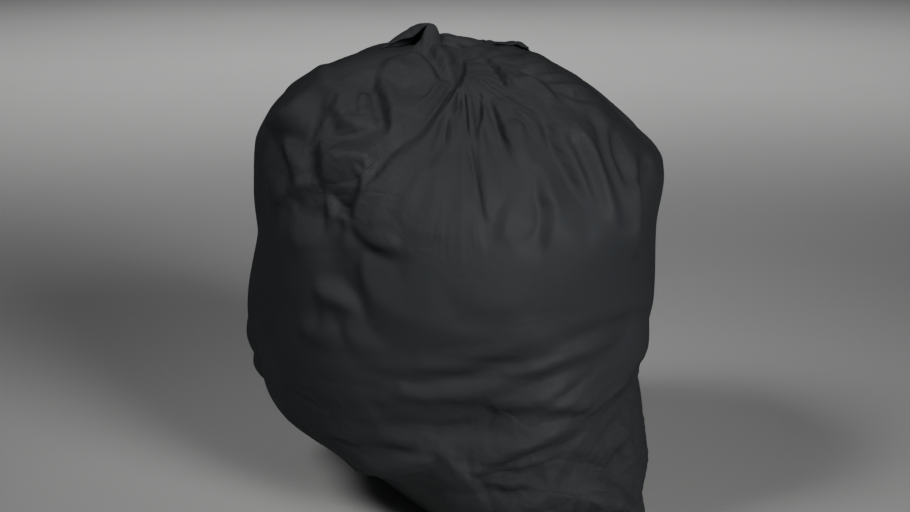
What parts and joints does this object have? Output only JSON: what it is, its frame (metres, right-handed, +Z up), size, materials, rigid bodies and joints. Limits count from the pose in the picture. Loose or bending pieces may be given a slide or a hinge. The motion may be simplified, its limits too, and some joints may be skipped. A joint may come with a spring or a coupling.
{
  "type": "full bin bag",
  "caption": "Full refuse sack of dull black film, stuffed with rubbish, its gathered mouth tied in a knot with two short ears, standing on a flattened foot.",
  "frame": {"origin": "on the floor, under the middle of the bag's box", "axes": "+Z up through the knot, -Y towards the front, +X to the right as seen from the front"},
  "size_m": [0.4553, 0.4418, 0.5253],
  "materials": {
    "black_film": "black polyethylene film, dull with a soft sheen, creased"
  },
  "bodies": {
    "root": {"sack": "black_film"}
  },
  "joints": []
}
